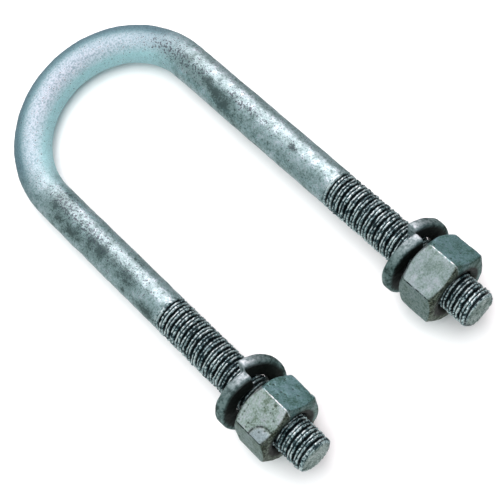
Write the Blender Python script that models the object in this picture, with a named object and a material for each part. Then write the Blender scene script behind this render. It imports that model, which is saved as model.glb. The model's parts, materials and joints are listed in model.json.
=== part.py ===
"""Round-bend U-bolt: a bent rod threaded at both ends, two split lock washers and two hexagon nuts.

The rod lies flat with its legs pointing along -Y and its bend at +Y. Metres, +Z up.
Along a leg, a place is given by u, its distance from the bend's centre line towards the rod's end,
and by phi, the angle round the leg from +X towards +Z.
"""
import math

import bmesh
import bpy

MM = 0.001
TURN = 2 * math.pi

# Rod: 1/4 inch stock, bent to 1 inch between the legs.
ROD_RADIUS = 3.175 * MM
BEND_RADIUS = 15.875 * MM
LEG_LENGTH = {"left": 62.8 * MM, "right": 65.6 * MM}
THREAD_START = {"left": 29.1 * MM, "right": 34.9 * MM}
SIDE = {"left": -1, "right": 1}
TIP_CHAMFER = 0.55 * MM

# Thread: 20 turns to the inch, right-handed.
PITCH = 1.27 * MM
THREAD_DEPTH = 0.76 * MM
CREST_FLAT = 0.18 * MM
THREAD_CLEARANCE = 0.21 * MM

# Hexagon nuts, chamfered on both sides.
NUT_ACROSS_FLATS = 11.11 * MM
NUT_HEIGHT = 6.6 * MM
NUT_START = {"left": 50.85 * MM, "right": 54.35 * MM}
NUT_CORNER_ANGLE = math.radians(12)
NUT_HOLE_RADIUS = 2.75 * MM
NUT_MOUTH_RADIUS = 3.95 * MM
NUT_FACE_RADIUS = 5.33 * MM
NUT_BEARING_CHAMFER = math.radians(38)
NUT_OUTER_CHAMFER = math.radians(30)

# Split lock washers, uncompressed: each is one turn of a left-handed coil. They hang loose on the
# thread and lean: WASHER_LEAN is how far a washer's points move towards the bend per metre of x and of z.
WASHER_INNER_RADIUS = 3.4 * MM
WASHER_OUTER_RADIUS = 6.35 * MM
WASHER_THICKNESS = 1.57 * MM
WASHER_HEIGHT = 3.5 * MM
WASHER_MIDDLE = {"left": 48.5 * MM, "right": 52.5 * MM}
WASHER_LEAN = {"left": (-0.05, 0.2), "right": (-0.07, 0.1)}
WASHER_SPLIT_ANGLE = math.radians(71)
WASHER_SPLIT_WIDTH = math.radians(3)

NUT_CORNER_RADIUS = NUT_ACROSS_FLATS / 2 / math.cos(TURN / 12)

# Where the rod lies: the object's box is centred on the origin, and the washers' rims stand on z = 0.
AXIS_Z = WASHER_OUTER_RADIUS
BEND_Y = (LEG_LENGTH["right"] - BEND_RADIUS - ROD_RADIUS) / 2

# Mesh fineness.
ROUND_SEGMENTS = 16
BEND_STEPS = 24
NUT_SEGMENTS = 32
WASHER_STEPS = 36
SHARP_ANGLE = math.radians(35)

# One pitch of thread, as (distance along the leg, share of the depth) from one crest to the next.
FLANK = THREAD_DEPTH * math.tan(TURN / 12)
PROFILE = [
    (0.0, 0.0),
    (CREST_FLAT, 0.0),
    (CREST_FLAT + FLANK, 1.0),
    (PITCH - FLANK, 1.0),
]


def clear_scene():
    for old in list(bpy.data.objects):
        bpy.data.objects.remove(old, do_unlink=True)


def galvanised(name, color, roughness):
    material = bpy.data.materials.new(name)
    material.use_nodes = True
    shader = material.node_tree.nodes["Principled BSDF"]
    shader.inputs["Base Color"].default_value = (*color, 1.0)
    shader.inputs["Metallic"].default_value = 0.85
    shader.inputs["Roughness"].default_value = roughness
    return material


def leg_point(u, radius, phi):
    """A point round a leg, measured from the leg's own origin on the bend's centre line."""
    return (radius * math.cos(phi), -u, radius * math.sin(phi))


def leg_origin(side):
    return (SIDE[side] * BEND_RADIUS, BEND_Y, AXIS_Z)


def make_object(name, bm, origin, material=None):
    """Turn a bmesh whose points are measured from origin into an object placed there."""
    bmesh.ops.recalc_face_normals(bm, faces=bm.faces)
    mesh = bpy.data.meshes.new(name)
    bm.to_mesh(mesh)
    bm.free()
    mesh.shade_smooth()
    mesh.set_sharp_from_angle(angle=SHARP_ANGLE)
    thing = bpy.data.objects.new(name, mesh)
    thing.location = origin
    bpy.context.collection.objects.link(thing)
    if material:
        mesh.materials.append(material)
    else:
        thing.hide_render = True
        thing.display_type = "WIRE"
    return thing


def bridge(bm, ring_a, ring_b):
    count = len(ring_a)
    for i in range(count):
        j = (i + 1) % count
        bm.faces.new((ring_a[i], ring_a[j], ring_b[j], ring_b[i]))


def cut_flat(bm, verts, u, keep_below):
    """Cut the faces round these points square across at u, drop what lies beyond and close the cut."""
    edges = {edge for vert in verts for edge in vert.link_edges}
    faces = {face for vert in verts for face in vert.link_faces}
    cut = bmesh.ops.bisect_plane(
        bm,
        geom=list(verts) + list(edges) + list(faces),
        dist=1e-8,
        plane_co=(0, -u, 0),
        plane_no=(0, -1 if keep_below else 1, 0),
        clear_outer=True,
    )
    rim = [item for item in cut["geom_cut"] if isinstance(item, bmesh.types.BMEdge)]
    bmesh.ops.edgeloop_fill(bm, edges=rim)


def thread_rows(bm, start, turns, first_turn, radius_at):
    """Points of a right-handed thread, row by row: rows[i][a] is row a of the profile at angle i."""
    rows = []
    for i in range(ROUND_SEGMENTS):
        row_count = len(PROFILE) * turns + 1
        if i == 0:
            row_count += len(PROFILE)
        column = []
        for a in range(row_count):
            turn = first_turn + a // len(PROFILE) + i / ROUND_SEGMENTS
            along, share = PROFILE[a % len(PROFILE)]
            u = start + PITCH * turn + along
            phi = TURN * i / ROUND_SEGMENTS
            column.append(bm.verts.new(leg_point(u, radius_at(u, turn, share), phi)))
        rows.append(column)
    return rows


def thread_faces(bm, rows):
    """Join the rows. Past the last angle, the rows carry on into the next turn."""
    for i in range(ROUND_SEGMENTS):
        last = i == ROUND_SEGMENTS - 1
        here = rows[i]
        there = rows[0][len(PROFILE):] if last else rows[i + 1]
        for a in range(min(len(here), len(there)) - 1):
            bm.faces.new((here[a], there[a], there[a + 1], here[a + 1]))


def rod_thread_radius(tip):
    """The rod's thread fades in over its first turn and is chamfered at the rod's end."""
    def radius_at(u, turn, share):
        threaded = ROD_RADIUS - THREAD_DEPTH * share * min(1.0, turn)
        chamfered = ROD_RADIUS - (u - (tip - TIP_CHAMFER))
        return min(threaded, chamfered)
    return radius_at


def add_threaded_leg(bm, side):
    """Add one threaded leg and return the ring that the plain rod joins, in order of phi."""
    start = THREAD_START[side]
    tip = LEG_LENGTH[side]
    turns = math.ceil((tip - start) / PITCH) + 2
    rows = thread_rows(bm, start, turns, 0, rod_thread_radius(tip))
    thread_faces(bm, rows)

    ring = []
    for i in range(ROUND_SEGMENTS):
        ring.append(bm.verts.new(leg_point(start - PITCH / 2, ROD_RADIUS, TURN * i / ROUND_SEGMENTS)))
    for i in range(ROUND_SEGMENTS - 1):
        bm.faces.new((ring[i], ring[i + 1], rows[i + 1][0], rows[i][0]))
    corner = rows[-1][0]
    seam = [ring[-1], ring[0]] + rows[0][:len(PROFILE) + 1]
    for near, far in zip(seam, seam[1:]):
        bm.faces.new((corner, near, far))

    leg_verts = ring + [vert for column in rows for vert in column]
    bmesh.ops.translate(bm, verts=leg_verts, vec=(SIDE[side] * BEND_RADIUS, 0, 0))
    cut_flat(bm, leg_verts, tip, keep_below=True)
    return ring


def build_rod(material):
    """The bent rod, from the right leg's thread round the bend to the left leg's thread."""
    bm = bmesh.new()
    right_ring = add_threaded_leg(bm, "right")
    left_ring = add_threaded_leg(bm, "left")

    previous = right_ring
    for step in range(BEND_STEPS + 1):
        ring = bend_ring(bm, math.pi * step / BEND_STEPS)
        bridge(bm, previous, ring)
        previous = ring
    half_turn = ROUND_SEGMENTS // 2
    bridge(bm, previous, [left_ring[half_turn - i] for i in range(ROUND_SEGMENTS)])
    return make_object("bent_rod", bm, (0, BEND_Y, AXIS_Z), material)


def bend_ring(bm, beta):
    """The rod's section at angle beta round the bend, from the right leg to the left."""
    ring = []
    for i in range(ROUND_SEGMENTS):
        psi = TURN * i / ROUND_SEGMENTS
        reach = BEND_RADIUS + ROD_RADIUS * math.cos(psi)
        ring.append(bm.verts.new((
            reach * math.cos(beta),
            reach * math.sin(beta),
            ROD_RADIUS * math.sin(psi),
        )))
    return ring


def build_washer(side, material):
    """One turn of flat section, its nut-side end at the split's start and its bend-side end a turn on."""
    bm = bmesh.new()
    rise = (WASHER_HEIGHT - WASHER_THICKNESS) / 2
    lean_x, lean_z = WASHER_LEAN[side]
    sections = []
    for step in range(WASHER_STEPS + 1):
        share = step / WASHER_STEPS
        phi = WASHER_SPLIT_ANGLE + WASHER_SPLIT_WIDTH / 2 + (TURN - WASHER_SPLIT_WIDTH) * share
        centre = rise * (1 - 2 * share)
        low = centre - WASHER_THICKNESS / 2
        high = centre + WASHER_THICKNESS / 2
        corners = [
            (low, WASHER_INNER_RADIUS),
            (low, WASHER_OUTER_RADIUS),
            (high, WASHER_OUTER_RADIUS),
            (high, WASHER_INNER_RADIUS),
        ]
        section = []
        for u, radius in corners:
            lean = radius * (lean_x * math.cos(phi) + lean_z * math.sin(phi))
            section.append(bm.verts.new(leg_point(u - lean, radius, phi)))
        sections.append(section)
    for here, there in zip(sections, sections[1:]):
        bridge(bm, here, there)
    bm.faces.new(sections[0])
    bm.faces.new(sections[-1])
    x, y, z = leg_origin(side)
    return make_object(side + "_lock_washer", bm, (x, y - WASHER_MIDDLE[side], z), material)


def nut_blank():
    """The nut's turned form about its middle: bore, countersinks, end faces and corner chamfers."""
    half = NUT_HEIGHT / 2
    rim_radius = NUT_CORNER_RADIUS * 1.1
    sink = NUT_MOUTH_RADIUS - NUT_HOLE_RADIUS
    bearing_drop = (rim_radius - NUT_FACE_RADIUS) * math.tan(NUT_BEARING_CHAMFER)
    outer_drop = (rim_radius - NUT_FACE_RADIUS) * math.tan(NUT_OUTER_CHAMFER)
    outline = [
        (-half + sink, NUT_HOLE_RADIUS),
        (-half, NUT_MOUTH_RADIUS),
        (-half, NUT_FACE_RADIUS),
        (-half + bearing_drop, rim_radius),
        (half - outer_drop, rim_radius),
        (half, NUT_FACE_RADIUS),
        (half, NUT_MOUTH_RADIUS),
        (half - sink, NUT_HOLE_RADIUS),
    ]
    bm = bmesh.new()
    sections = []
    for i in range(NUT_SEGMENTS):
        phi = TURN * (i + 0.5) / NUT_SEGMENTS + NUT_CORNER_ANGLE
        sections.append([bm.verts.new(leg_point(v, radius, phi)) for v, radius in outline])
    for here, there in zip(sections, sections[1:] + sections[:1]):
        bridge(bm, here, there)
    return bm


def hexagon_prism():
    bm = bmesh.new()
    ends = []
    for v in (-NUT_HEIGHT, NUT_HEIGHT):
        corners = [NUT_CORNER_ANGLE + TURN * i / 6 for i in range(6)]
        ends.append([bm.verts.new(leg_point(v, NUT_CORNER_RADIUS, phi)) for phi in corners])
    bridge(bm, *ends)
    bm.faces.new(ends[0])
    bm.faces.new(ends[1])
    return bm


def nut_tap(side):
    """A threaded plug in phase with the rod's thread and larger by the clearance."""
    middle = NUT_START[side] + NUT_HEIGHT / 2
    first_turn = math.floor((NUT_START[side] - THREAD_START[side]) / PITCH) - 2
    turns = math.ceil(NUT_HEIGHT / PITCH) + 4

    def radius_at(u, turn, share):
        return ROD_RADIUS + THREAD_CLEARANCE - THREAD_DEPTH * share

    bm = bmesh.new()
    rows = thread_rows(bm, THREAD_START[side] - middle, turns, first_turn, radius_at)
    thread_faces(bm, rows)
    reach = NUT_HEIGHT / 2 + PITCH / 2
    cut_flat(bm, bm.verts, reach, keep_below=True)
    cut_flat(bm, bm.verts, -reach, keep_below=False)
    return bm


def add_boolean(thing, operation, cutter):
    modifier = thing.modifiers.new(operation.lower(), "BOOLEAN")
    modifier.operation = operation
    modifier.solver = "EXACT"
    modifier.object = cutter


def build_nut(side, material):
    x, y, z = leg_origin(side)
    origin = (x, y - NUT_START[side] - NUT_HEIGHT / 2, z)
    nut = make_object(side + "_hex_nut", nut_blank(), origin, material)
    add_boolean(nut, "INTERSECT", make_object(side + "_hexagon_cutter", hexagon_prism(), origin))
    add_boolean(nut, "DIFFERENCE", make_object(side + "_tap_cutter", nut_tap(side), origin))
    return nut


def main():
    clear_scene()
    rod_zinc = galvanised("rod_zinc", (0.60, 0.66, 0.70), 0.45)
    washer_zinc = galvanised("washer_zinc", (0.45, 0.52, 0.52), 0.55)
    nut_zinc = galvanised("nut_zinc", (0.50, 0.58, 0.56), 0.5)
    build_rod(rod_zinc)
    for side in SIDE:
        build_washer(side, washer_zinc)
        build_nut(side, nut_zinc)


main()
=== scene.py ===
"""Looks of a galvanised U-bolt: bent rod, lock washers and hexagon nuts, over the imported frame."""
import json
import math

import bpy
import numpy as np
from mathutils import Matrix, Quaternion, Vector, noise


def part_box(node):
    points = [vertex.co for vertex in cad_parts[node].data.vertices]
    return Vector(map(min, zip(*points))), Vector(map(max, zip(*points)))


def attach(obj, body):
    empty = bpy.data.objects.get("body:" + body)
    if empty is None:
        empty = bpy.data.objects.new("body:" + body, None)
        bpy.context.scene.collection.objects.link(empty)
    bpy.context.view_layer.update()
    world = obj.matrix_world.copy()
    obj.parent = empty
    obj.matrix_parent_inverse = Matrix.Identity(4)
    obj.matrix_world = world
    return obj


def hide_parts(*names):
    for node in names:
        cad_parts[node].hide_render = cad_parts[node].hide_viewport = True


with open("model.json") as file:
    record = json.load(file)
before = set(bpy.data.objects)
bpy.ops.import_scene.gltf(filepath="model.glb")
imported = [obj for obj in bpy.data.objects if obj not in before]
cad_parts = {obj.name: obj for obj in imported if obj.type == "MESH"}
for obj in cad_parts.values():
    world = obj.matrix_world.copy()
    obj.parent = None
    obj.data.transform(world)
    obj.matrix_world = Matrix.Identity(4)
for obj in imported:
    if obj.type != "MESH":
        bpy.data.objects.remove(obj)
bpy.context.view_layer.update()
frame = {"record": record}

MM = 0.001
TURN = 2 * math.pi
SIDES = ("left", "right")

# Thread, cut into the rod's ends: 20 turns to the inch, right-handed.
PITCH = 1.27 * MM
THREAD_DEPTH = 0.6 * MM
THREAD_LENGTH = {"left": 33.7 * MM, "right": 30.7 * MM}
THREAD_CLEARANCE = 0.21 * MM
CREST_SHIFT = 0.07
CREST_SHARE = 0.5
ROOT_SHARE = 0.1
SEAM_DEPTH = 0.16 * MM
SEAM_SHARE = 0.2
SEAM_DARKNESS = 0.75
TIP_FACE_RADIUS = 2.4 * MM
TIP_ROUND = 0.9 * MM
TIP_THREAD_SHARE = 0.3

# Nuts and washers.
NUT_ACROSS_FLATS = 11.11 * MM
NUT_CORNER_ANGLE = math.radians(12)
NUT_CORNER_RADIUS = 0.25 * MM
NUT_EDGE_RADIUS = 0.3 * MM
NUT_HOLE_RADIUS = 2.75 * MM
NUT_MOUTH_RADIUS = 3.95 * MM
NUT_FACE_RADIUS = 5.33 * MM
NUT_BEARING_CHAMFER = math.radians(38)
NUT_OUTER_CHAMFER = math.radians(30)
WASHER_INNER_RADIUS = 3.4 * MM
WASHER_OUTER_RADIUS = 6.35 * MM
WASHER_THICKNESS = 1.57 * MM
WASHER_HEIGHT = 3.5 * MM
WASHER_LEAN = {"left": (-0.05, 0.2), "right": (-0.07, 0.1)}
WASHER_EDGE_RADIUS = 0.4 * MM
WASHER_SPLIT_ANGLE = math.radians(71)
WASHER_SPLIT_WIDTH = math.radians(3)
WASHER_PALE_ANGLE = math.radians(30)
WASHER_END_TRIM = 0.12 * MM

# How far in from a washer's rim the painted shade on its faces begins, and over what length it comes in.
WASHER_SHADE_REACH = 0.21 * MM
WASHER_SHADE_FADE = 0.7 * MM

# The zinc's tone on each side of a nut, a painted shade from lit grey-green at 0 to shaded dark
# blue-green at 1, the painted highlight on each corner after it (below 0 a painted dark line), and how
# dirty each side and its outer rim are.
NUT_SIDE_SHADES = (1.0, 0.0, 0.35, 0.7, 0.2, 0.5)
NUT_CORNER_GLINTS = (1.0, -1.0, 0.1, 0.8, -0.6, 0.2)
NUT_SIDE_DIRT = (0.0, 0.0, 0.4, 0.1, 0.4, 0.2)
NUT_RIM_DIRT = (0.55, 0.95, 1.0, 1.0, 1.0, 0.35)

# The left nut is dirty and pitted, and the right one is cleaner.
NUT_CLEAN = {"left": 0.15, "right": 0.8}
NUT_PITS = {"left": 170, "right": 30}
PIT_RADII = (0.1 * MM, 0.26 * MM)
PIT_DEPTH_SHARE = 0.4

# How far the dirt of a nut's outer rim comes up its sides, and how far from its mouth the nut is black
# and where that fades.
RIM_REACH = 0.2 * MM
# The nut's black bore and mouth are painted shade.
MOUTH_REACH = 0.9 * MM
MOUTH_FADE = 0.55 * MM

# A spill of zinc on one side of the left nut: how far along and across that side it is centred, from the
# washer and from the middle.
SPILL_SIDE = 1
SPILL_ALONG = 5.6 * MM
SPILL_ACROSS = 2.9 * MM
SPILL_RADIUS = 2.0 * MM
SPILL_HEIGHT = 0.06 * MM
SPILL_SLOPE = 0.2
SPILL_GROOVE_REACH = 1.06
SPILL_GROOVE_WIDTH = 0.09
SPILL_GROOVE_DEPTH = 1.2

# Lumps in the zinc: the size and the height of each layer of them, and where their noise starts.
ROD_LUMPS = ((2.6 * MM, 0.06 * MM), (0.8 * MM, 0.03 * MM), (0.35 * MM, 0.014 * MM))
THREAD_LUMPS = ((0.8 * MM, 0.10 * MM), (0.4 * MM, 0.11 * MM))
NUT_LUMPS = ((3.0 * MM, 0.08 * MM), (0.9 * MM, 0.03 * MM), (0.4 * MM, 0.01 * MM))
WASHER_LUMPS = ((2.0 * MM, 0.07 * MM), (0.7 * MM, 0.025 * MM))
ROD_SEED = 3
THREAD_SEED = 4
NUT_SEED = {"left": 7, "right": 11}
WASHER_SEED = {"left": 17, "right": 23}

# How finely the meshes are cut.
ROD_COLUMNS = 144
THREAD_ROWS = 20
SHANK_STEP = 0.2 * MM
BEND_ROWS = 260
FACE_ROWS = 20
FLAT_COLUMNS = 40
CORNER_COLUMNS = 5
BORE_ROWS = 44
NUT_STEPS = (8, 8, 5, 36, 5, 8, 8)
WASHER_STEPS = (4, 5, 8, 5, 4)
WASHER_ROWS = 180

# Where the zinc is stained, and where it is peppered with dark specks. Each entry gives the distance
# along the rod from the middle of its bend (towards +X first), the angle round it from its outer side,
# half its length, half its width and its strength.
STAINS = (
    (36.0 * MM, 117, 2.6 * MM, 1.3 * MM, 1.4),
    (33.0 * MM, 108, 2.0 * MM, 1.0 * MM, 0.9),
    (38.5 * MM, 138, 3.5 * MM, 1.0 * MM, 0.9),
    (55.0 * MM, 140, 2.0 * MM, 1.0 * MM, 0.5),
    (27.0 * MM, 98, 4.0 * MM, 1.4 * MM, 0.4),
    (-29.0 * MM, 80, 3.0 * MM, 1.6 * MM, 0.8),
    (-33.0 * MM, 57, 2.6 * MM, 1.1 * MM, 1.3),
    (-40.0 * MM, 76, 3.4 * MM, 1.2 * MM, 1.2),
    (-46.5 * MM, 73, 2.6 * MM, 1.0 * MM, 0.9),
    (-51.8 * MM, 38, 2.6 * MM, 1.0 * MM, 1.6),
)
SPECKLES = (
    (22.0 * MM, 102, 5.0 * MM, 1.8 * MM, 1.0),
    (30.0 * MM, 96, 4.0 * MM, 1.4 * MM, 0.9),
    (39.0 * MM, 88, 4.0 * MM, 1.2 * MM, 0.9),
    (51.5 * MM, 90, 0.8 * MM, 0.5 * MM, 1.7),
    (47.0 * MM, 85, 9.0 * MM, 0.7 * MM, 0.6),
    (-29.0 * MM, 105, 4.5 * MM, 2.2 * MM, 1.1),
    (-37.0 * MM, 98, 4.0 * MM, 1.6 * MM, 1.1),
    (-46.0 * MM, 95, 6.0 * MM, 1.6 * MM, 0.7),
)

# The bend is painted palest, as a highlight, where it faces this way: 0 is outwards from the bend and 90
# is up.
LIT_TILT = math.radians(121)

# The bend's own zinc starts this far past its ends and is whole after the fade.
BENT_PAST = 2 * MM
BENT_FADE = 9 * MM

# How close to the rod's cut ends their bare tone begins, and over what length it comes in.
END_REACH = 0.1 * MM
END_FADE = 0.08 * MM

# How far the painted shade on the threads reaches either way from where a nut meets its washer.
SEAT_SHADE_REACH = 1.7 * MM

# Camera, studio and floor.
FLOOR_REACH = 3.0
CAMERA_ELEVATION = 64.45
CAMERA_AZIMUTH = -5.42
CAMERA_ROLL = -41.41
CAMERA_DISTANCE = 221.9 * MM
CAMERA_LENS = 102.97
CAMERA_AIM = (-0.18 * MM, -8.69 * MM, 6.35 * MM)
STUDIO_LEFT = (
    (0.05, (0.50, 0.53, 0.53)),
    (0.25, (0.47, 0.50, 0.50)),
    (0.50, (0.37, 0.40, 0.40)),
    (0.72, (0.31, 0.33, 0.33)),
    (0.90, (0.42, 0.45, 0.46)),
    (1.00, (0.52, 0.55, 0.57)),
)
STUDIO_RIGHT = (
    (0.05, (0.34, 0.36, 0.37)),
    (0.24, (0.21, 0.23, 0.23)),
    (0.45, (0.13, 0.14, 0.15)),
    (0.60, (0.15, 0.16, 0.17)),
    (0.80, (0.34, 0.36, 0.38)),
    (1.00, (0.52, 0.55, 0.57)),
)

# Each light's azimuth, elevation, distance, size and power.
STREAK = (127, 43, 0.5, (0.38, 0.62), 1.6)
STREAK_COLOR = (1.0, 0.80, 0.82)
OVERHEAD = (0, 90, 0.8, (0.9, 0.9), 9)


# ---------------------------------------------------------------- places from the frame

MOUNTS = {mount["name"]: mount for mount in frame["record"]["mounts"]}
rod_low, rod_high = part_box("bent_rod")
ROD_RADIUS = (rod_high.z - rod_low.z) / 2
AXIS_Z = (rod_high.z + rod_low.z) / 2
LEG_X = {side: MOUNTS[side + "_rod_end"]["pos_m"][0] for side in SIDES}
TIP_Y = {side: MOUNTS[side + "_rod_end"]["pos_m"][1] for side in SIDES}
BEND_RADIUS = LEG_X["right"]
BEND_Y = rod_high.y - ROD_RADIUS - BEND_RADIUS
HALF_BEND = BEND_RADIUS * TURN / 4
THREAD_Y = {side: TIP_Y[side] + THREAD_LENGTH[side] for side in SIDES}
THREAD_DISTANCE = {side: HALF_BEND + BEND_Y - THREAD_Y[side] for side in SIDES}


# ---------------------------------------------------------------- meshes

def grid_piece(name, points, marks, closed=False):
    """A smooth tube from rows of points, each row a ring. Its ends meet if closed, or are filled.

    marks are values for its points, by name, that the materials read.
    """
    rows, columns, _ = points.shape
    verts = points.reshape(-1, 3)
    faces = []
    for row in range(rows if closed else rows - 1):
        here = row * columns
        there = (row + 1) % rows * columns
        for column in range(columns):
            after = (column + 1) % columns
            faces.append((here + column, here + after, there + after, there + column))
    if not closed:
        verts = np.vstack([verts, points[0].mean(axis=0), points[-1].mean(axis=0)])
        last_row = (rows - 1) * columns
        for column in range(columns):
            after = (column + 1) % columns
            faces.append((rows * columns, after, column))
            faces.append((rows * columns + 1, last_row + column, last_row + after))
    mesh = bpy.data.meshes.new(name)
    mesh.from_pydata(verts.tolist(), [], faces)
    mesh.update()
    for mark, values in marks.items():
        flat = np.zeros(len(verts), np.float32)
        flat[:rows * columns] = values.reshape(-1)
        mesh.attributes.new(mark, "FLOAT", "POINT").data.foreach_set("value", flat)
    mesh.shade_smooth()
    piece = bpy.data.objects.new(name, mesh)
    bpy.context.scene.collection.objects.link(piece)
    return piece


def read_points(mesh):
    """The mesh's points and their normals, as two arrays."""
    count = len(mesh.vertices)
    places = np.zeros(count * 3)
    normals = np.zeros(count * 3)
    mesh.vertices.foreach_get("co", places)
    mesh.vertex_normals.foreach_get("vector", normals)
    return places.reshape(-1, 3), normals.reshape(-1, 3)


def read_mark(mesh, mark):
    values = np.zeros(len(mesh.vertices))
    mesh.attributes[mark].data.foreach_get("value", values)
    return values


def push(mesh, places, normals, heights):
    """Move the points along their normals."""
    mesh.vertices.foreach_set("co", (places + normals * heights[:, None]).reshape(-1))
    mesh.update()


def lump(piece, layers, seed, where=None):
    """Uneven zinc: layers are (size, height) pairs of smooth noise. where is the mark it keeps to."""
    places, normals = read_points(piece.data)
    heights = np.zeros(len(places))
    chosen = np.arange(len(places))
    share = np.ones(len(places))
    if where:
        share = read_mark(piece.data, where)
        chosen = np.flatnonzero(share)
    offset = Vector((seed, 0, 0))
    for size, height in layers:
        bumps = [noise.noise(Vector(place) / size + offset) for place in places[chosen]]
        heights[chosen] += height * np.array(bumps)
    push(piece.data, places, normals, heights * share)


def pit(piece, count, seed):
    """Small round craters at random points of the piece's outside, marked for its material."""
    mesh = piece.data
    places, normals = read_points(mesh)
    choice = np.random.default_rng(seed)
    outside = np.flatnonzero(read_mark(mesh, "hollow") < 0.01)
    depth = np.zeros(len(places))
    mark = np.zeros(len(places))
    for centre in places[choice.choice(outside, count)]:
        radius = choice.uniform(*PIT_RADII)
        shape = np.exp(-((places - centre) ** 2).sum(axis=1) / radius ** 2)
        depth = np.maximum(depth, shape * radius * PIT_DEPTH_SHARE)
        mark = np.maximum(mark, shape)
    mesh.attributes.new("pits", "FLOAT", "POINT").data.foreach_set("value", mark.astype(np.float32))
    push(mesh, places, normals, -depth)


def thread_height(along, phi):
    """Where a point is on a right-handed thread: 1 on the middle of its crest, 0 in its root."""
    phase = (along / PITCH - phi / TURN - CREST_SHIFT) % 1.0
    return np.abs(phase - 0.5) * 2


def thread_share(along, phi):
    """How deep the thread is, from 0 on its crest to 1 at its root, with rounded edges."""
    height = thread_height(along, phi)
    flank = np.clip((1 - CREST_SHARE - height) / (1 - CREST_SHARE - ROOT_SHARE), 0, 1)
    rounded = flank * flank * (3 - 2 * flank)
    return 0.5 * flank + 0.5 * rounded


def around_leg(side, y, radius, phi):
    """Points round a leg's axis. phi runs from +X towards +Z."""
    x = LEG_X[side] + radius * np.cos(phi)
    z = AXIS_Z + radius * np.sin(phi)
    return np.stack(np.broadcast_arrays(x, y, z), axis=-1)


def rod_leg(side, psi):
    """A leg from its tip to the bend: its points, its thread's depth and its distance along the rod."""
    phi = psi if side == "right" else math.pi - psi
    tip = TIP_Y[side]
    start = THREAD_Y[side]
    threaded = np.arange(tip, start, PITCH / THREAD_ROWS)
    plain = np.arange(start, BEND_Y, SHANK_STEP)
    y = np.concatenate([threaded, plain])[:, None]
    begun = np.clip((start - y) / PITCH, 0, 1) * np.clip(TIP_THREAD_SHARE + (y - tip) / PITCH, 0, 1)
    hollow = begun * thread_share(start - y, phi)
    seam = begun * np.exp(-((1 - thread_height(start - y, phi)) / SEAM_SHARE) ** 2)
    rounded = np.sqrt(1 - (1 - np.clip((y - tip) / TIP_ROUND, 0, 1)) ** 2)
    limit = TIP_FACE_RADIUS + (ROD_RADIUS - TIP_FACE_RADIUS) * rounded
    radius = np.minimum(ROD_RADIUS - THREAD_DEPTH * hollow - SEAM_DEPTH * seam, limit)
    # The seam is also painted darker as shade, through the hollow mark.
    hollow += SEAM_DARKNESS * seam
    face_radius = TIP_FACE_RADIUS * np.linspace(0.05, 0.97, FACE_ROWS)[:, None]
    y = np.vstack([np.full((FACE_ROWS, 1), tip), y])
    radius = np.vstack([face_radius * np.ones_like(psi), radius])
    hollow = np.vstack([np.zeros((FACE_ROWS, len(psi))), hollow])
    distance = HALF_BEND + BEND_Y - y
    return around_leg(side, y, radius, phi), hollow, distance if side == "right" else -distance


def rod_bend(psi):
    beta = np.linspace(0, math.pi, BEND_ROWS + 1)[:, None]
    reach = BEND_RADIUS + ROD_RADIUS * np.cos(psi)
    x = reach * np.cos(beta)
    y = BEND_Y + reach * np.sin(beta)
    z = AXIS_Z + ROD_RADIUS * np.sin(psi)
    points = np.stack(np.broadcast_arrays(x, y, z), axis=-1)
    return points, np.zeros((len(beta), len(psi))), BEND_RADIUS * (TURN / 4 - beta)


def patches(spots, distance, psi):
    """Soft oval spots on the rod, added up at each of its points."""
    total = np.zeros((len(distance), len(psi)))
    for place, angle, half_length, half_width, strength in spots:
        aside = (psi - math.radians(angle) + math.pi) % TURN - math.pi
        along = (distance - place) / half_length
        across = ROD_RADIUS * aside / half_width
        total += strength * np.exp(-along ** 2 - across ** 2)
    return total


def make_rod():
    psi = TURN * np.arange(ROD_COLUMNS) / ROD_COLUMNS
    right, bend, left = rod_leg("right", psi), rod_bend(psi), rod_leg("left", psi)
    points, hollow, distance = (np.concatenate([a, b, c[::-1]]) for a, b, c in zip(right, bend, left))
    around = np.ones_like(psi)
    side_distance = np.abs(distance)
    thread_distance = np.where(distance > 0, THREAD_DISTANCE["right"], THREAD_DISTANCE["left"])
    seat = {side: HALF_BEND + BEND_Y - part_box(side + "_hex_nut")[1].y for side in SIDES}
    seat_distance = np.where(distance > 0, seat["right"], seat["left"])
    beta = np.clip(TURN / 4 - distance / BEND_RADIUS, 0, TURN / 2)
    tip_distance = thread_distance + np.where(distance > 0, THREAD_LENGTH["right"], THREAD_LENGTH["left"])
    marks = {
        "hollow": hollow,
        "bent": np.clip((HALF_BEND + BENT_PAST - side_distance) / BENT_FADE, 0, 1) * around,
        "threaded": np.clip((side_distance - thread_distance) / MM, 0, 1) * around,
        "end": np.clip((side_distance - tip_distance + END_REACH) / END_FADE, 0, 1) * around,
        # Painted light on the bend: this mark paints its top pale as a highlight, and the next paints its
        # outer side darker than its inner side as shade.
        "crown": np.cos(psi) * math.cos(LIT_TILT) * np.sin(beta) + np.sin(psi) * math.sin(LIT_TILT),
        "outward": np.cos(psi) * np.ones_like(distance),
        # Painted shade on the threads round where each nut meets its washer, for the shade between them.
        "grime": np.exp(-((side_distance - seat_distance) / SEAT_SHADE_REACH) ** 2) * around,
        "stain": patches(STAINS, distance, psi),
        "speckle": patches(SPECKLES, distance, psi),
    }
    rod = grid_piece("galvanised_rod", points, marks)
    lump(rod, ROD_LUMPS, ROD_SEED)
    lump(rod, THREAD_LUMPS, THREAD_SEED, "threaded")
    # grid_piece winds this tube's faces inwards, so they are turned to face out.
    rod.data.flip_normals()
    return rod


def eased(count):
    """Steps from 0 to 1, closer together near both ends."""
    share = np.linspace(-1, 1, count + 1)
    return (share * (1.3 - 0.3 * share ** 2) + 1) / 2


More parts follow.
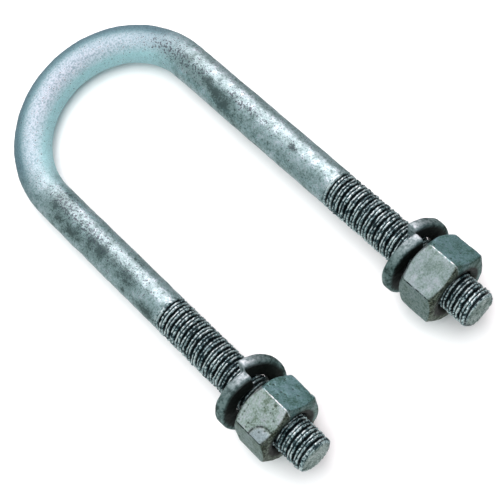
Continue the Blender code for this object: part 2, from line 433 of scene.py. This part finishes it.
def softened(corners, radius, counts):
    """A line through the corners, each turned into a short arc, and each straight run cut into steps."""
    corners = [np.array(corner) for corner in corners]
    points = []
    leave = corners[0]
    for before, here, after, count in zip(corners, corners[1:], corners[2:], counts):
        back = before - here
        ahead = after - here
        reach = min(radius, 0.45 * np.linalg.norm(back), 0.45 * np.linalg.norm(ahead))
        start = here + back / np.linalg.norm(back) * reach
        end = here + ahead / np.linalg.norm(ahead) * reach
        points += [leave + (start - leave) * share for share in eased(count)[:-1]]
        for share in (0, 0.25, 0.5, 0.75):
            points.append((1 - share) ** 2 * start + 2 * share * (1 - share) * here + share ** 2 * end)
        leave = end
    points += [leave + (corners[-1] - leave) * share for share in eased(counts[-1])]
    return np.array(points)


def nut_columns():
    """Round the hexagon: each column's angle, its distance to the axis, its side, how far it is across
    that side from its middle, and its corner's painted highlight or dark line."""
    flat = NUT_ACROSS_FLATS / 2
    half = TURN / 12
    pivot = (flat - NUT_CORNER_RADIUS) / math.cos(half)
    reach = math.atan(math.tan(half) * (flat - NUT_CORNER_RADIUS) / flat)
    columns = []
    for face in range(6):
        middle = NUT_CORNER_ANGLE + half + 2 * half * face
        for share in eased(FLAT_COLUMNS):
            angle = reach * (2 * share - 1)
            columns.append((middle + angle, flat / math.cos(angle), face, flat * math.tan(angle), 0))
        for share in np.linspace(-1, 1, CORNER_COLUMNS + 2)[1:-1]:
            x = pivot + NUT_CORNER_RADIUS * math.cos(share * half)
            y = NUT_CORNER_RADIUS * math.sin(share * half)
            corner_glint = NUT_CORNER_GLINTS[face]
            columns.append((middle + half + math.atan2(y, x), math.hypot(x, y), face, flat, corner_glint))
    return columns


def spill(side, face, along, across, radius):
    """The zinc spilt on one side of the left nut: its share of full height, and of its dark groove."""
    if side == "right" or face != SPILL_SIDE:
        return np.zeros_like(along), np.zeros_like(along)
    reach = np.hypot(along - SPILL_ALONG, across - SPILL_ACROSS) / SPILL_RADIUS
    outside = radius > NUT_FACE_RADIUS
    groove = np.exp(-((reach - SPILL_GROOVE_REACH) / SPILL_GROOVE_WIDTH) ** 2)
    return np.clip((1 - reach) / SPILL_SLOPE, 0, 1) * outside, groove * outside


def make_nut(side):
    """One nut: a slice through its wall for each column, chamfered outside and threaded inside."""
    low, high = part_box(side + "_hex_nut")
    sink = NUT_MOUTH_RADIUS - NUT_HOLE_RADIUS
    slices = []
    marks = {"edge": [], "tone": [], "rim": [], "spill": [], "groove": []}
    for phi, reach, face, across, corner_glint in nut_columns():
        outer_drop = (reach - NUT_FACE_RADIUS) * math.tan(NUT_OUTER_CHAMFER)
        bearing_drop = (reach - NUT_FACE_RADIUS) * math.tan(NUT_BEARING_CHAMFER)
        corners = (
            (low.y + sink, NUT_HOLE_RADIUS),
            (low.y, NUT_MOUTH_RADIUS),
            (low.y, NUT_FACE_RADIUS),
            (low.y + outer_drop, reach),
            (high.y - bearing_drop, reach),
            (high.y, NUT_FACE_RADIUS),
            (high.y, NUT_MOUTH_RADIUS),
            (high.y - sink, NUT_HOLE_RADIUS),
        )
        outside = softened(corners, NUT_EDGE_RADIUS, NUT_STEPS)
        bore_y = np.linspace(high.y - sink, low.y + sink, BORE_ROWS)[1:-1]
        bore = np.stack([bore_y, np.full_like(bore_y, NUT_HOLE_RADIUS)], axis=-1)
        outline = np.vstack([outside, bore])
        y, radius = outline.T
        groove = ROD_RADIUS + THREAD_CLEARANCE - THREAD_DEPTH * thread_share(THREAD_Y[side] - y, phi)
        radius = np.maximum(radius, groove)
        raised, cut = spill(side, face, high.y - y, across, radius)
        spilt = raised - SPILL_GROOVE_DEPTH * cut
        slices.append(around_leg(side, y, radius + SPILL_HEIGHT * spilt, phi))
        # Painted light: each corner's painted highlight or dark line, and each side's painted shade.
        marks["edge"].append(corner_glint * (radius > NUT_FACE_RADIUS + 0.1 * MM))
        marks["tone"].append(np.full_like(y, NUT_SIDE_SHADES[face]))
        rim = np.clip((low.y + outer_drop + RIM_REACH - y) / RIM_REACH, 0, 1)
        marks["rim"].append(np.maximum(rim * NUT_RIM_DIRT[face], NUT_SIDE_DIRT[face]))
        marks["spill"].append(raised)
        marks["groove"].append(cut)
    points = np.array(slices)
    distance = np.hypot(points[:, :, 0] - LEG_X[side], points[:, :, 2] - AXIS_Z)
    marks = {name: np.array(values) for name, values in marks.items()}
    # Painted shade: the bore and the mouth are marked here to be painted near black.
    marks["hollow"] = np.clip((NUT_MOUTH_RADIUS + MOUTH_REACH - distance) / MOUTH_FADE, 0, 1)
    marks["clean"] = np.full(distance.shape, NUT_CLEAN[side])
    nut = grid_piece(side + "_galvanised_nut", points, marks, closed=True)
    lump(nut, NUT_LUMPS, NUT_SEED[side])
    pit(nut, NUT_PITS[side], NUT_SEED[side])
    return nut


def make_washer(side):
    """One lock washer: its section swept once round the leg, rising along it, with its ends apart."""
    low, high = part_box(side + "_lock_washer")
    rise = (WASHER_HEIGHT - WASHER_THICKNESS) / 2
    lean_x, lean_z = WASHER_LEAN[side]
    half = WASHER_THICKNESS / 2
    corners = (
        (-half, (WASHER_INNER_RADIUS + WASHER_OUTER_RADIUS) / 2),
        (-half, WASHER_OUTER_RADIUS),
        (half, WASHER_OUTER_RADIUS),
        (half, WASHER_INNER_RADIUS),
        (-half, WASHER_INNER_RADIUS),
        (-half, (WASHER_INNER_RADIUS + WASHER_OUTER_RADIUS) / 2),
    )
    outline = softened(corners, WASHER_EDGE_RADIUS, WASHER_STEPS)[:-1]
    centre = np.array([0, (WASHER_INNER_RADIUS + WASHER_OUTER_RADIUS) / 2])
    turn = WASHER_END_TRIM / WASHER_OUTER_RADIUS
    first = WASHER_SPLIT_ANGLE + WASHER_SPLIT_WIDTH / 2
    last = first + TURN - WASHER_SPLIT_WIDTH
    phis = [first, first, *np.linspace(first + turn, last - turn, WASHER_ROWS), last, last]
    scales = [0.5, 0.9, *np.ones(WASHER_ROWS), 0.9, 0.5]
    rings = []
    marks = {"hollow": [], "pale": []}
    for phi, scale in zip(phis, scales):
        share = (phi - first) / (last - first)
        section = centre + (outline - centre) * scale
        lean = lean_x * math.cos(phi) + lean_z * math.sin(phi)
        y = section[:, 0] + section[:, 1] * lean - rise * (1 - 2 * share)
        rings.append(around_leg(side, y, section[:, 1], phi))
        # Painted shade on the washer's faces, coming in from its rim.
        face_shade = (WASHER_OUTER_RADIUS - section[:, 1] - WASHER_SHADE_REACH) / WASHER_SHADE_FADE
        marks["hollow"].append(np.clip(face_shade, 0, 1) if scale == 1 else np.zeros(len(section)))
        from_end = min(phi - first, last - phi)
        marks["pale"].append(np.full(len(section), math.exp(-(from_end / WASHER_PALE_ANGLE) ** 2)))
    rings = np.array(rings)
    rings[:, :, 1] += (low.y + high.y - rings[:, :, 1].min() - rings[:, :, 1].max()) / 2
    marks = {name: np.array(values) for name, values in marks.items()}
    washer = grid_piece(side + "_galvanised_washer", rings, marks)
    lump(washer, WASHER_LUMPS, WASHER_SEED[side])
    return washer


# ---------------------------------------------------------------- materials

def new_metal(name, metallic):
    """A bare metal: its material, node tree, shader and object coordinates."""
    material = bpy.data.materials.new(name)
    material.use_nodes = True
    tree = material.node_tree
    shader = tree.nodes["Principled BSDF"]
    shader.inputs["Metallic"].default_value = metallic
    place = tree.nodes.new("ShaderNodeTexCoord").outputs["Object"]
    return material, tree, shader, place


def cloud(tree, place, size, detail=3.0, roughness=0.5):
    """Smooth noise with blotches of about that size."""
    made = tree.nodes.new("ShaderNodeTexNoise")
    made.inputs["Scale"].default_value = 1 / size
    made.inputs["Detail"].default_value = detail
    made.inputs["Roughness"].default_value = roughness
    tree.links.new(place, made.inputs["Vector"])
    return made.outputs["Fac"]


def ramp(tree, value, stops):
    """Colours by value: stops are (value, colour) pairs in rising order."""
    made = tree.nodes.new("ShaderNodeValToRGB")
    elements = made.color_ramp.elements
    for position, _ in stops[1:-1]:
        elements.new(position)
    elements[0].position = stops[0][0]
    elements[-1].position = stops[-1][0]
    for element, (_, color) in zip(elements, stops):
        element.color = (*color, 1)
    tree.links.new(value, made.inputs["Fac"])
    return made.outputs["Color"]


def mapped(tree, value, low, high, to_low, to_high):
    """The value, taken from low..high to to_low..to_high and kept between them."""
    made = tree.nodes.new("ShaderNodeMapRange")
    made.inputs["From Min"].default_value = low
    made.inputs["From Max"].default_value = high
    made.inputs["To Min"].default_value = to_low
    made.inputs["To Max"].default_value = to_high
    tree.links.new(value, made.inputs["Value"])
    return made.outputs["Result"]


def joined(tree, operation, first, second):
    """Two values joined by a math operation. The second may be a number."""
    made = tree.nodes.new("ShaderNodeMath")
    made.operation = operation
    tree.links.new(first, made.inputs[0])
    if isinstance(second, float):
        made.inputs[1].default_value = second
    else:
        tree.links.new(second, made.inputs[1])
    return made.outputs["Value"]


def layered(tree, layers):
    """Noises added up around a half: layers are (noise, weight) pairs."""
    total = None
    for value, weight in layers:
        made = tree.nodes.new("ShaderNodeMath")
        made.operation = "MULTIPLY_ADD"
        tree.links.new(value, made.inputs[0])
        made.inputs[1].default_value = weight
        if total:
            tree.links.new(total, made.inputs[2])
        else:
            made.inputs[2].default_value = 0.5 - sum(share for _, share in layers) / 2
        total = made.outputs["Value"]
    return total


def over(tree, share, below, above):
    """The colour above laid over the one below. Each is a socket or a colour."""
    made = tree.nodes.new("ShaderNodeMix")
    made.data_type = "RGBA"
    tree.links.new(share, made.inputs["Factor"])
    for socket, color in (("A", below), ("B", above)):
        if isinstance(color, tuple):
            made.inputs[socket].default_value = (*color, 1)
        else:
            tree.links.new(color, made.inputs[socket])
    return made.outputs["Result"]


def mark(tree, name):
    made = tree.nodes.new("ShaderNodeAttribute")
    made.attribute_name = name
    return made.outputs["Fac"]


def rough_surface(tree, shader, value, depth):
    """Fine unevenness of the zinc, as a bump."""
    made = tree.nodes.new("ShaderNodeBump")
    made.inputs["Strength"].default_value = 0.5
    made.inputs["Distance"].default_value = depth
    tree.links.new(value, made.inputs["Height"])
    tree.links.new(made.outputs["Normal"], shader.inputs["Normal"])
    return made


def make_rod_zinc():
    """Zinc on the rod: grey-green and blotched on the legs; on the bend, speckled, with a painted
    highlight on top and painted light and shade on its sides; painted shade in the threads.
    """
    material, tree, shader, place = new_metal("rod_zinc", 0.85)
    blotch = cloud(tree, place, 4.5 * MM, 3)
    mottle = cloud(tree, place, 1.3 * MM, 5, 0.62)
    grain = cloud(tree, place, 0.35 * MM, 3, 0.6)
    flake = cloud(tree, place, 0.22 * MM, 2, 0.5)
    tone = layered(tree, ((blotch, 0.55), (mottle, 0.9), (grain, 1.3)))
    tone = joined(tree, "SUBTRACT", tone, joined(tree, "MULTIPLY", mark(tree, "stain"), 0.27))
    leg = ramp(tree, tone, (
        (0.16, (0.10, 0.155, 0.155)),
        (0.36, (0.28, 0.41, 0.41)),
        (0.54, (0.41, 0.575, 0.595)),
        (0.70, (0.60, 0.73, 0.78)),
    ))
    # Painted light on the bend: a pale highlight on its top, a shaded darker outer side and a lighter
    # inner side.
    top = ramp(tree, grain, (
        (0.36, (0.30, 0.39, 0.46)),
        (0.50, (0.50, 0.58, 0.66)),
        (0.64, (0.78, 0.80, 0.89)),
    ))
    outer = ramp(tree, grain, ((0.36, (0.08, 0.155, 0.185)), (0.62, (0.14, 0.245, 0.285))))
    inner = ramp(tree, grain, ((0.36, (0.34, 0.58, 0.61)), (0.62, (0.46, 0.74, 0.78))))
    flank = over(tree, mapped(tree, mark(tree, "outward"), -0.7, 0.5, 0, 1), inner, outer)
    bend = over(tree, mapped(tree, mark(tree, "crown"), 0.72, 1, 0, 1), flank, top)
    bent = mark(tree, "bent")
    color = over(tree, bent, leg, bend)
    speck = joined(tree, "ADD", grain, joined(tree, "MULTIPLY", mark(tree, "speckle"), 0.13))
    color = over(tree, mapped(tree, speck, 0.61, 0.67, 0, 0.85), color, (0.045, 0.06, 0.075))
    crest = ramp(tree, layered(tree, ((mottle, 1.5), (grain, 1.8))), (
        (0.34, (0.04, 0.08, 0.09)),
        (0.50, (0.46, 0.66, 0.69)),
        (0.62, (0.86, 1.00, 1.00)),
    ))
    threaded = mark(tree, "threaded")
    color = over(tree, threaded, color, crest)
    end = ramp(tree, layered(tree, ((mottle, 1.0), (flake, 1.0))), (
        (0.30, (0.10, 0.15, 0.13)),
        (0.50, (0.34, 0.44, 0.41)),
        (0.70, (0.62, 0.70, 0.68)),
    ))
    color = over(tree, mark(tree, "end"), color, end)
    # Painted shade: the thread's roots and seams are painted near black.
    deep = joined(tree, "ADD", mark(tree, "hollow"), joined(tree, "MULTIPLY", flake, 0.5))
    root = ramp(tree, mottle, ((0.35, (0.006, 0.011, 0.016)), (0.65, (0.035, 0.055, 0.06))))
    color = over(tree, mapped(tree, deep, 0.40, 0.75, 0, 1), color, root)
    # Painted shade on the threads where each nut meets its washer.
    color = over(tree, mapped(tree, mark(tree, "grime"), 0, 1, 0, 0.85), color, (0.02, 0.025, 0.022))
    tree.links.new(color, shader.inputs["Base Color"])
    tree.links.new(mapped(tree, bent, 0, 1, 0.8, 0.4), shader.inputs["Metallic"])
    polish = mapped(tree, mottle, 0.3, 0.7, 0.42, 0.24)
    rough = joined(tree, "ADD", polish, joined(tree, "MULTIPLY", bent, 0.3))
    tree.links.new(rough, shader.inputs["Roughness"])
    bump = rough_surface(tree, shader, joined(tree, "ADD", grain, mottle), 0.08 * MM)
    tree.links.new(mapped(tree, threaded, 0, 1, 0.7, 1.0), bump.inputs["Strength"])
    return material


def make_nut_zinc():
    """Zinc on the nuts: lit grey-green sides and painted-shade blue-green sides, pitted, brown at the
    outer rim, with painted highlights and dark lines at corners and painted shade in the bore.
    """
    material, tree, shader, place = new_metal("nut_zinc", 0.88)
    blotch = cloud(tree, place, 2.2 * MM, 4, 0.6)
    mottle = cloud(tree, place, 0.6 * MM, 4, 0.6)
    flake = cloud(tree, place, 0.25 * MM, 2, 0.5)
    tone = layered(tree, ((blotch, 1.0), (mottle, 0.7), (flake, 0.8)))
    pale = ramp(tree, tone, (
        (0.30, (0.22, 0.30, 0.22)),
        (0.50, (0.50, 0.645, 0.585)),
        (0.72, (0.74, 0.82, 0.84)),
    ))
    blue = ramp(tree, tone, (
        (0.30, (0.12, 0.25, 0.22)),
        (0.50, (0.24, 0.45, 0.45)),
        (0.72, (0.34, 0.56, 0.62)),
    ))
    clean = ramp(tree, tone, (
        (0.30, (0.27, 0.38, 0.35)),
        (0.50, (0.40, 0.52, 0.52)),
        (0.72, (0.54, 0.63, 0.67)),
    ))
    pale = over(tree, mark(tree, "clean"), pale, clean)
    # Painted shade: each side takes the lit grey-green or the shaded blue-green copy of the zinc by its
    # tone mark.
    color = over(tree, mark(tree, "tone"), pale, blue)
    spilt = ramp(tree, flake, ((0.35, (0.42, 0.52, 0.54)), (0.65, (0.62, 0.74, 0.78))))
    color = over(tree, mark(tree, "spill"), color, spilt)
    rim = ramp(tree, layered(tree, ((mottle, 1.2), (flake, 1.2))), (
        (0.30, (0.02, 0.022, 0.012)),
        (0.50, (0.10, 0.115, 0.075)),
        (0.70, (0.24, 0.29, 0.22)),
    ))
    color = over(tree, mapped(tree, mark(tree, "rim"), 0, 1, 0, 0.95), color, rim)
    color = over(tree, mapped(tree, mark(tree, "pits"), 0.3, 0.8, 0, 0.8), color, (0.05, 0.07, 0.05))
    cut = joined(tree, "MULTIPLY", mark(tree, "groove"), mapped(tree, mottle, 0.4, 0.5, 0.4, 1.0))
    color = over(tree, cut, color, (0.015, 0.025, 0.015))
    # Painted highlights on some corners and painted dark lines on others, broken up by the mottle.
    glint_share = joined(tree, "MULTIPLY", mark(tree, "edge"), mapped(tree, mottle, 0.42, 0.58, 0.15, 1.0))
    color = over(tree, mapped(tree, glint_share, 0, 1, 0, 1), color, (0.85, 0.92, 0.93))
    color = over(tree, mapped(tree, glint_share, -0.7, 0, 1, 0), color, (0.03, 0.05, 0.05))
    # Painted shade in the nut's bore and mouth, a little uneven with the mottle.
    mouth_shade = joined(tree, "ADD", mark(tree, "hollow"), mapped(tree, mottle, 0.35, 0.65, -0.15, 0.15))
    color = over(tree, mapped(tree, mouth_shade, 0, 1, 0, 1), color, (0.016, 0.015, 0.010))
    tree.links.new(color, shader.inputs["Base Color"])
    tree.links.new(mapped(tree, mottle, 0.3, 0.7, 0.5, 0.38), shader.inputs["Roughness"])
    rough_surface(tree, shader, mottle, 0.05 * MM)
    return material


def make_washer_zinc():
    """Zinc on the washers: dark green-grey, paler at the split, with near-black painted shade on their
    faces.
    """
    material, tree, shader, place = new_metal("washer_zinc", 0.88)
    blotch = cloud(tree, place, 2.5 * MM, 3)
    mottle = cloud(tree, place, 0.6 * MM, 4, 0.6)
    tone = layered(tree, ((blotch, 1.3), (mottle, 1.3)))
    dark = ramp(tree, tone, (
        (0.30, (0.05, 0.09, 0.08)),
        (0.50, (0.15, 0.235, 0.225)),
        (0.72, (0.30, 0.43, 0.42)),
    ))
    pale = ramp(tree, tone, (
        (0.30, (0.22, 0.30, 0.31)),
        (0.50, (0.44, 0.54, 0.56)),
        (0.72, (0.68, 0.76, 0.80)),
    ))
    color = over(tree, mark(tree, "pale"), dark, pale)
    # Painted near-black shade on the washer's faces.
    color = over(tree, mapped(tree, mark(tree, "hollow"), 0, 1, 0, 0.95), color, (0.024, 0.026, 0.022))
    tree.links.new(color, shader.inputs["Base Color"])
    tree.links.new(mapped(tree, mottle, 0.3, 0.7, 0.58, 0.42), shader.inputs["Roughness"])
    rough_surface(tree, shader, mottle, 0.08 * MM)
    return material


def dress(piece, node, body, material):
    piece.data.materials.append(material)
    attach(piece, body)
    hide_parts(node)


# ---------------------------------------------------------------- stage

def make_floor():
    """A wide pale floor under the washers' rims and the bend, which touch it together."""
    front_low, front_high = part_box("left_lock_washer")
    front_y = (front_low.y + front_high.y) / 2
    slope = rod_low.z / (BEND_Y + BEND_RADIUS - front_y)
    corners = []
    for x, y in ((-1, -1), (1, -1), (1, 1), (-1, 1)):
        corners.append((x * FLOOR_REACH, y * FLOOR_REACH, slope * (y * FLOOR_REACH - front_y)))
    mesh = bpy.data.meshes.new("floor")
    mesh.from_pydata(corners, [], [(0, 1, 2, 3)])
    paper = bpy.data.materials.new("floor_paper")
    paper.use_nodes = True
    shader = paper.node_tree.nodes["Principled BSDF"]
    shader.inputs["Base Color"].default_value = (0.94, 0.94, 0.94, 1)
    shader.inputs["Roughness"].default_value = 0.9
    mesh.materials.append(paper)
    floor = bpy.data.objects.new("floor", mesh)
    floor.visible_glossy = False
    bpy.context.scene.collection.objects.link(floor)


def towards(azimuth, elevation):
    """The direction from the object at that azimuth and elevation, in degrees."""
    a = math.radians(azimuth)
    e = math.radians(elevation)
    return Vector((math.sin(a) * math.cos(e), -math.cos(a) * math.cos(e), math.sin(e)))


def add_light(name, azimuth, elevation, distance, size, power):
    """A soft rectangular light at that bearing from the object, facing it."""
    lamp = bpy.data.lights.new(name, "AREA")
    lamp.shape = "RECTANGLE"
    lamp.size, lamp.size_y = size
    lamp.energy = power
    back = towards(azimuth, elevation)
    light = bpy.data.objects.new(name, lamp)
    light.location = Vector((0, 0, AXIS_Z)) + back * distance
    light.rotation_mode = "QUATERNION"
    light.rotation_quaternion = (-back).to_track_quat("-Z", "Y")
    bpy.context.scene.collection.objects.link(light)
    return light


def make_world():
    """The studio around the object: pale below and overhead, darker at the sides, darkest towards +X."""
    world = bpy.data.worlds.new("studio")
    world.use_nodes = True
    tree = world.node_tree
    split = tree.nodes.new("ShaderNodeSeparateXYZ")
    tree.links.new(tree.nodes.new("ShaderNodeTexCoord").outputs["Generated"], split.inputs["Vector"])
    height = mapped(tree, split.outputs["Z"], -1, 1, 0, 1)
    aside = mapped(tree, split.outputs["X"], -0.2, 0.6, 0, 1)
    color = over(tree, aside, ramp(tree, height, STUDIO_LEFT), ramp(tree, height, STUDIO_RIGHT))
    tree.links.new(color, tree.nodes["Background"].inputs["Color"])
    bpy.context.scene.world = world


def make_camera():
    back = towards(CAMERA_AZIMUTH, CAMERA_ELEVATION)
    camera = bpy.data.objects.new("camera", bpy.data.cameras.new("camera"))
    camera.data.lens = CAMERA_LENS
    camera.data.sensor_width = 36
    camera.data.clip_start = 0.01
    camera.data.clip_end = 20
    camera.location = Vector(CAMERA_AIM) + back * CAMERA_DISTANCE
    camera.rotation_mode = "QUATERNION"
    upright = (-back).to_track_quat("-Z", "Y")
    camera.rotation_quaternion = upright @ Quaternion((0, 0, 1), math.radians(CAMERA_ROLL))
    bpy.context.scene.collection.objects.link(camera)
    bpy.context.scene.camera = camera


make_camera()
make_world()
make_floor()
add_light("streak", *STREAK).data.color = STREAK_COLOR
add_light("overhead", *OVERHEAD).visible_glossy = False
bpy.context.scene.view_settings.view_transform = "Standard"

rod_zinc = make_rod_zinc()
washer_zinc = make_washer_zinc()
nut_zinc = make_nut_zinc()

dress(make_rod(), "bent_rod", "rod", rod_zinc)
for side in SIDES:
    dress(make_washer(side), side + "_lock_washer", side + "_washer", washer_zinc)
    dress(make_nut(side), side + "_hex_nut", side + "_nut", nut_zinc)
